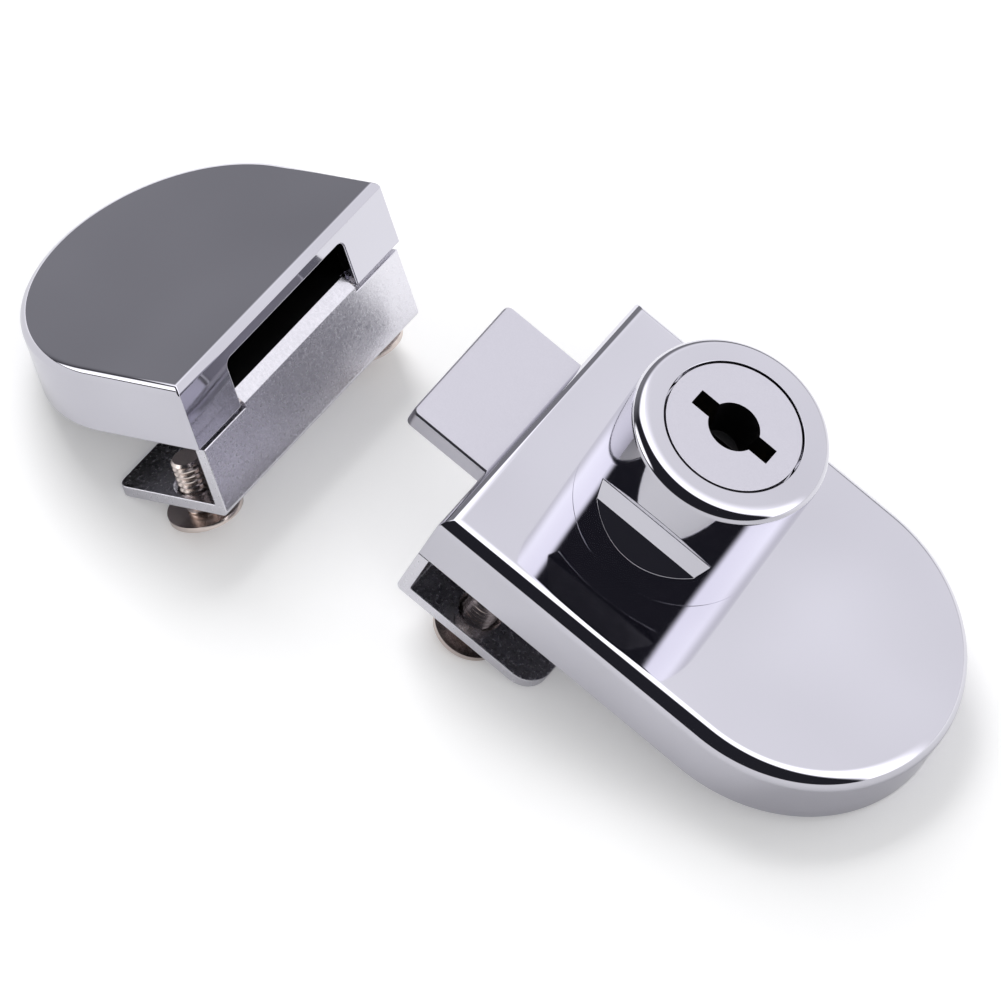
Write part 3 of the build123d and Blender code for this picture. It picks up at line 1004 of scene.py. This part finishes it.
    def plug(self) -> Piece:
        """Key plug with its keyway and the round dish in its middle.

        Returns:
            The plug.
        """
        centre = (self.barrel_place, 0.0)
        face = self.height + self.barrel_height - self.plug_sink
        shoulder = face - self.plug_head_height
        ends = (shoulder, face)
        plug = Bench.post("key_plug_face", self.plug_head_radius, centre, ends, 160)
        ends = (self.height - self.wall, shoulder + PAST / 2)
        Bench.combine(plug, Bench.post("body", self.plug_radius, centre, ends), Way.ADD)
        reach = self.keyway_length / 2
        half = self.keyway_width / 2
        keyway = Bench.block(
            "keyway",
            (self.barrel_place - reach, -half, self.height + self.keyway_floor),
            (self.barrel_place + reach, half, face + PAST),
        )
        Bench.combine(plug, keyway)
        slope = (self.dish_radius - self.dish_floor_radius) / self.dish_depth
        ends = (face - self.dish_depth, face + PAST)
        mouth = self.dish_radius + slope * PAST
        Bench.combine(plug, Bench.post("dish", self.dish_floor_radius, centre, ends, 64, mouth))
        Bench.ease(plug, 0.1, 2, 30.0)
        return plug

    def bracket(self) -> Piece:
        """Base plate, web and clamp flange, bent from one sheet.

        Returns:
            The bracket.
        """
        bracket = self.clamp.fold("lock_clamp_bracket")
        self.clamp.drill(bracket)
        sheet = self.clamp.sheet
        inner = self.width / 2 - self.wall - self.plate_gap
        plate = Outline(inner, self.outline.straight, inner).slab("plate", sheet)
        for place in self.plate_screws:
            Bench.countersink(plate, place)
        centre = (self.barrel_place, 0.0)
        ends = (-PAST, sheet + PAST)
        Bench.combine(plate, Bench.post("hole", self.tail_hole_radius, centre, ends, 64))
        Bench.ease(plate, 0.12)
        return Bench.join(bracket, plate)


@dataclass
class StrikeUnit:
    """The strike unit's casing, bracket and clamp screws.

    They are modelled towards +X and then turned round.
    """

    shop: Workshop
    width: float = 38.8
    length: float = 32.2
    round_depth: float = 18.3
    height: float = 8.6
    wall: float = 1.6
    top: float = 1.4
    edge_round: float = 1.1
    slot_width: float = 22.3
    slot_high: float = 6.2
    slot_corner: float = 0.9
    clamp: ClampSheet = ClampSheet(
        sheet=1.4, width=37.2, drop=0.5, glass_gap=8.3, flange_depth=15.4, corner=1.2,
        corner_steps=6, screw_place=6.4, screw_side=15.5, unscrewed=1.8,
    )
    tongue_width: float = 21.3
    tongue_length: float = 20.5
    neck_overlap: float = 0.1
    lip_length: float = 3.2
    lip_chamfer: float = 1.35
    shelf_place: float = 1.75
    shelf_width: float = 32.4
    shelf_lift: float = 0.02
    shelf_sink: float = 0.06
    screw_place: float = 16.8
    screw_side: float = 6.6
    cross_turn: float = 35.0

    @property
    def outline(self) -> Outline:
        """The casing's plan."""
        return Outline(self.width / 2, self.length - self.round_depth, self.round_depth)

    def build(self) -> None:
        """Models and dresses every piece of the unit."""
        # The casing's inner faces get the near-black painted shade.
        inside = self.outline.inside(self.wall, self.height - self.top)
        turn = Matrix.Rotation(math.pi, 4, "Z")
        casing = self.casing()
        casing.data.transform(turn)
        self.shop.dress(
            casing,
            Slot.POLISHED_CHROME,
            "strike",
            "strike_casing",
            inside=lambda centre, normal: inside(turn @ centre, normal),
        )
        # The upward faces of the tongue and the shelf, under the casing, get the near-black
        # painted shade.
        shelf_top = self.clamp.sheet - self.shelf_sink - NEAR
        bracket = self.bracket()
        bracket.data.transform(turn)
        self.shop.dress(
            bracket,
            Slot.BENT_CHROME,
            "strike",
            "strike_bracket",
            inside=lambda centre, normal: normal.z > FACING and centre.z > shelf_top,
        )
        turns = (-self.cross_turn, self.cross_turn)
        self.shop.add_clamp_screws("strike", self.clamp, -1.0, turns)

    def casing(self) -> Piece:
        """Hollow casting with the slot that the bolt enters.

        Returns:
            The casing, reaching towards +X.
        """
        casing = self.outline.slab("strike_cover", self.height)
        Bench.hollow(casing, self.wall, self.height - self.top)
        top = self.height - NEAR
        Bench.round_edges(casing, lambda a, b: min(a.z, b.z) > top, self.edge_round, 8)
        reach = self.slot_width / 2
        through = self.wall + 0.6 * PAST
        slot = Bench.block("slot", (-PAST, -reach, -PAST), (through, reach, self.slot_high))
        high = self.slot_high - NEAR
        Bench.round_edges(
            slot,
            lambda a, b: min(a.z, b.z) > high and abs(a.x - b.x) > self.wall,
            self.slot_corner,
            5,
        )
        Bench.combine(casing, slot)
        Bench.ease(casing, 0.2, 3)
        return casing

    def bracket(self) -> Piece:
        """Web and clamp flange, with a tongue that goes in under the bolt slot.

        Returns:
            The bracket, reaching towards +X.
        """
        bracket = self.clamp.fold("strike_clamp_bracket")
        reach = self.tongue_width / 2
        sheet = self.clamp.sheet
        low = -self.clamp.drop - PAST
        neck = Bench.block("neck", (0.0, -reach, low), (sheet, reach, self.neck_overlap))
        Bench.combine(bracket, neck, Way.ADD)
        tongue = Bench.block("tongue", (0.0, -reach, 0.0), (self.lip_length, reach, sheet))
        Bench.combine(bracket, tongue, Way.ADD)
        crest = sheet - NEAR
        Bench.round_edges(
            bracket,
            lambda a, b: max(a.x, b.x) < NEAR and min(a.z, b.z) > crest,
            self.lip_chamfer,
            1,
        )
        side = self.shelf_width / 2
        shelf = Bench.block(
            "shelf",
            (self.shelf_place, -side, self.shelf_lift),
            (self.tongue_length, side, sheet - self.shelf_sink),
        )
        self.clamp.drill(bracket)
        for across in (-self.screw_side, self.screw_side):
            Bench.countersink(shelf, (self.screw_place, across))
        return Bench.join(bracket, shelf)


@dataclass
class CarriedPieces:
    """The frame nodes that keep their own mesh and get a finish."""

    nodes: dict[str, Piece]
    materials: dict[Slot, bpy.types.Material]

    def build(self, slots: dict[str, str]) -> None:
        """Gives every shown node the finish of its slot.

        Args:
            slots: Node name to the record's material slot.
        """
        for name, piece in self.nodes.items():
            if piece.hide_render:
                continue
            slot = Slot(slots[name])
            piece.data.materials.clear()
            piece.data.materials.append(self.materials[slot])
            log.info("%s: kept, %s", name, slot.value)


@dataclass(frozen=True)
class Glow:
    """A soft patch of light that polished metal sees in one direction."""

    towards: Point
    spread: float
    edge: float
    strength: float
    tint: Colour = (1.0, 1.0, 1.0)


@dataclass(frozen=True)
class Tent:
    """A white tent over and behind the object, open towards the camera, with a bright strip above.

    A range gives the share of a direction along Y, or along "over", where the cloth or the strip
    begins and where it is full.
    """

    cloth: float = 1.05
    strip: float = 0.90
    tint: Colour = (0.99, 0.985, 1.01)
    opening: Range = (-0.10, 0.02)
    strip_end: Range = (0.55, 0.32)
    over: Point = (0.5, 0.2, 0.84)
    side: Range = (0.15, 0.50)


@dataclass
class Studio:
    """Pale floor, soft lights, the surroundings that the metal mirrors, and the camera."""

    azimuth: float = 22.079
    elevation: float = 51.676
    roll: float = 14.378
    distance: float = 1.5
    lens: float = 493.8
    target: Point = (0.003174, -0.005342, 0.013365)
    sheet_size: float = 8.0
    sheet_drop: float = 0.00002
    sheet_tone: Colour = (0.935, 0.935, 0.938)
    sheet_off_tone: Colour = (0.03, 0.03, 0.035)
    sheet_off: Range = (-0.11, -0.18)
    sheet_lift: float = 0.16
    rear_lift: float = 0.30
    rear: Range = (0.0, 0.05)
    dull_world: Colour = (0.55, 0.55, 0.555)
    room: Colour = (0.022, 0.022, 0.028)
    tent: Tent = Tent()
    glows: tuple[Glow, ...] = (
        Glow((-0.80, -0.59, 0.10), 19.0, 5.0, 2.0),
        Glow((-0.79, 0.59, 0.12), 34.0, 22.0, 0.27, (0.96, 0.96, 1.0)),
    )

    def build(self) -> None:
        """Sets up the whole studio."""
        scene = bpy.context.scene
        scene.view_settings.view_transform = "Standard"
        self._surroundings(scene)
        self._floor()
        self._lamp("key_light", (-0.75, 0.35, 1.0), 0.7, 9.0)
        self._lamp("fill_light", (0.7, -0.9, 0.9), 1.0, 3.0)
        self._camera(scene)

    def _camera(self, scene: bpy.types.Scene) -> None:
        """Puts the camera at the photograph's angle.

        Args:
            scene: The scene that gets the camera.
        """
        turn, rise, roll = (math.radians(v) for v in (self.azimuth, self.elevation, self.roll))
        ground = Vector((math.sin(turn), -math.cos(turn), 0.0))
        back = math.cos(rise) * ground + Vector((0.0, 0.0, math.sin(rise)))
        level = (Vector((0.0, 0.0, 1.0)) - back * back.z).normalized()
        up = math.cos(roll) * level + math.sin(roll) * back.cross(level)
        right = up.cross(back)
        camera = bpy.data.objects.new("camera", bpy.data.cameras.new("camera"))
        camera.data.lens = self.lens
        camera.data.clip_start = 0.1
        camera.data.clip_end = 20.0
        place = Vector(self.target) + self.distance * back
        camera.matrix_world = Placement(place, right, up, back).matrix(1.0)
        scene.collection.objects.link(camera)
        scene.camera = camera

    @staticmethod
    def _lamp(name: str, place: Point, size: float, power: float) -> None:
        """Adds a square soft lamp that looks at the object.

        Args:
            name: The lamp's name.
            place: Where it stands, in metres.
            size: Its side, in metres.
            power: Its power in watts.
        """
        lamp = bpy.data.lights.new(name, "AREA")
        lamp.size = size
        lamp.energy = power
        holder = bpy.data.objects.new(name, lamp)
        holder.location = place
        holder.rotation_euler = (-Vector(place)).to_track_quat("-Z", "Y").to_euler()
        holder.visible_glossy = False
        bpy.context.scene.collection.objects.link(holder)

    def _floor(self) -> None:
        """Lays a large pale sheet that keeps the object's shadow.

        The camera sees it lifted to white. Polished metal sees it end on the camera's side, and
        lifted behind the object.
        """
        bpy.ops.mesh.primitive_plane_add(
            size=self.sheet_size, location=(0.0, 0.0, -self.sheet_drop)
        )
        floor = bpy.context.object
        floor.name = "pale_floor"
        paint = bpy.data.materials.new("pale_floor")
        paint.use_nodes = True
        tree = paint.node_tree
        tree.nodes.clear()
        rays = node(tree, "LightPath").outputs
        place = node(tree, "TexCoord").outputs["Object"]
        depth = node(tree, "SeparateXYZ", {0: place}).outputs["Y"]
        behind, off = (
            calculate(tree, "MULTIPLY", ramp(tree, depth, ends), rays["Is Glossy Ray"])
            for ends in (self.rear, self.sheet_off)
        )
        lift = calculate(tree, "MULTIPLY", behind, self.rear_lift)
        lift = calculate(tree, "MULTIPLY_ADD", rays["Is Camera Ray"], self.sheet_lift, lift)
        colour = mix(tree, off, (*self.sheet_tone, 1.0), (*self.sheet_off_tone, 1.0))
        sheet = node(tree, "BsdfDiffuse", {"Color": colour}).outputs[0]
        glow = node(tree, "Emission", {"Strength": lift}).outputs[0]
        total = node(tree, "AddShader", {0: sheet, 1: glow}).outputs[0]
        node(tree, "OutputMaterial", {"Surface": total})
        floor.data.materials.append(paint)

    def _surroundings(self, scene: bpy.types.Scene) -> None:
        """White to the camera, an even grey to dull surfaces, and the tent to polished metal.

        Args:
            scene: The scene that gets the world.
        """
        world = bpy.data.worlds.new("studio")
        scene.world = world
        world.use_nodes = True
        tree = world.node_tree
        tree.nodes.clear()
        place = node(tree, "TexCoord").outputs["Generated"]
        colour = self._lit(tree, self.tent.tint, self._tent_cloth(tree, place), self.room)
        for glow in self.glows:
            full = [glow.strength * channel for channel in glow.tint]
            angles = (glow.spread + glow.edge, max(glow.spread - glow.edge, 0.0))
            ends = tuple(math.cos(math.radians(angle)) for angle in angles)
            patch = ramp(tree, self._facing(tree, place, glow.towards), ends)
            colour = self._lit(tree, full, patch, colour)
        rays = node(tree, "LightPath").outputs
        colour = mix(tree, rays["Is Glossy Ray"], (*self.dull_world, 1.0), colour)
        colour = mix(tree, rays["Is Camera Ray"], colour, (1.0, 1.0, 1.0, 1.0))
        back = node(tree, "Background", {"Color": colour}).outputs[0]
        node(tree, "OutputWorld", {"Surface": back})

    def _tent_cloth(self, tree: Tree, place: Socket) -> Socket:
        """Brightness of the tent, as polished metal sees it.

        Args:
            tree: The nodes.
            place: The direction that is seen.

        Returns:
            The brightness.
        """
        tent = self.tent
        depth = node(tree, "SeparateXYZ", {0: place}).outputs["Y"]
        strip = ramp(tree, depth, tent.strip_end)
        shade = calculate(tree, "MULTIPLY_ADD", strip, tent.strip, tent.cloth)
        shade = calculate(tree, "MULTIPLY", shade, ramp(tree, depth, tent.opening))
        over = self._facing(tree, place, tent.over)
        return calculate(tree, "MULTIPLY", shade, ramp(tree, over, tent.side))

    @staticmethod
    def _facing(tree: Tree, place: Socket, towards: Point) -> Socket:
        """Cosine of the angle between the direction that is seen and another one."""
        inputs = {0: place, 1: Vector(towards).normalized()}
        return node(tree, "VectorMath", inputs, operation="DOT_PRODUCT").outputs["Value"]

    @staticmethod
    def _lit(tree: Tree, light: Point, share: Socket, under: Socket | Point) -> Socket:
        """Adds light to a colour.

        Args:
            tree: The nodes.
            light: The light at its full strength.
            share: The share of it that is added.
            under: The colour so far.

        Returns:
            The lit colour.
        """
        inputs = {0: light, "Scale": share}
        patch = node(tree, "VectorMath", inputs, operation="SCALE").outputs["Vector"]
        inputs = {0: patch, 1: under}
        return node(tree, "VectorMath", inputs, operation="ADD").outputs["Vector"]


def main() -> None:
    """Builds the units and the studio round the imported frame."""
    logging.basicConfig(level=logging.INFO, format="%(name)s: %(message)s")
    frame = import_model()
    record = frame["record"]
    materials = {finish.slot: finish.material() for finish in FINISHES}
    lock_place = Placement.from_mounts(record, "lock", 30.0, 1.0)
    strike_place = Placement.from_mounts(record, "strike", -8.0, -1.0)
    Studio().build()
    LockUnit(Workshop(lock_place, materials)).build()
    StrikeUnit(Workshop(strike_place, materials)).build()
    slots = {part["node"]: part["material_slot"] for part in record["subparts"]}
    CarriedPieces(frame["nodes"], materials).build(slots)


if __name__ == "__main__":
    main()
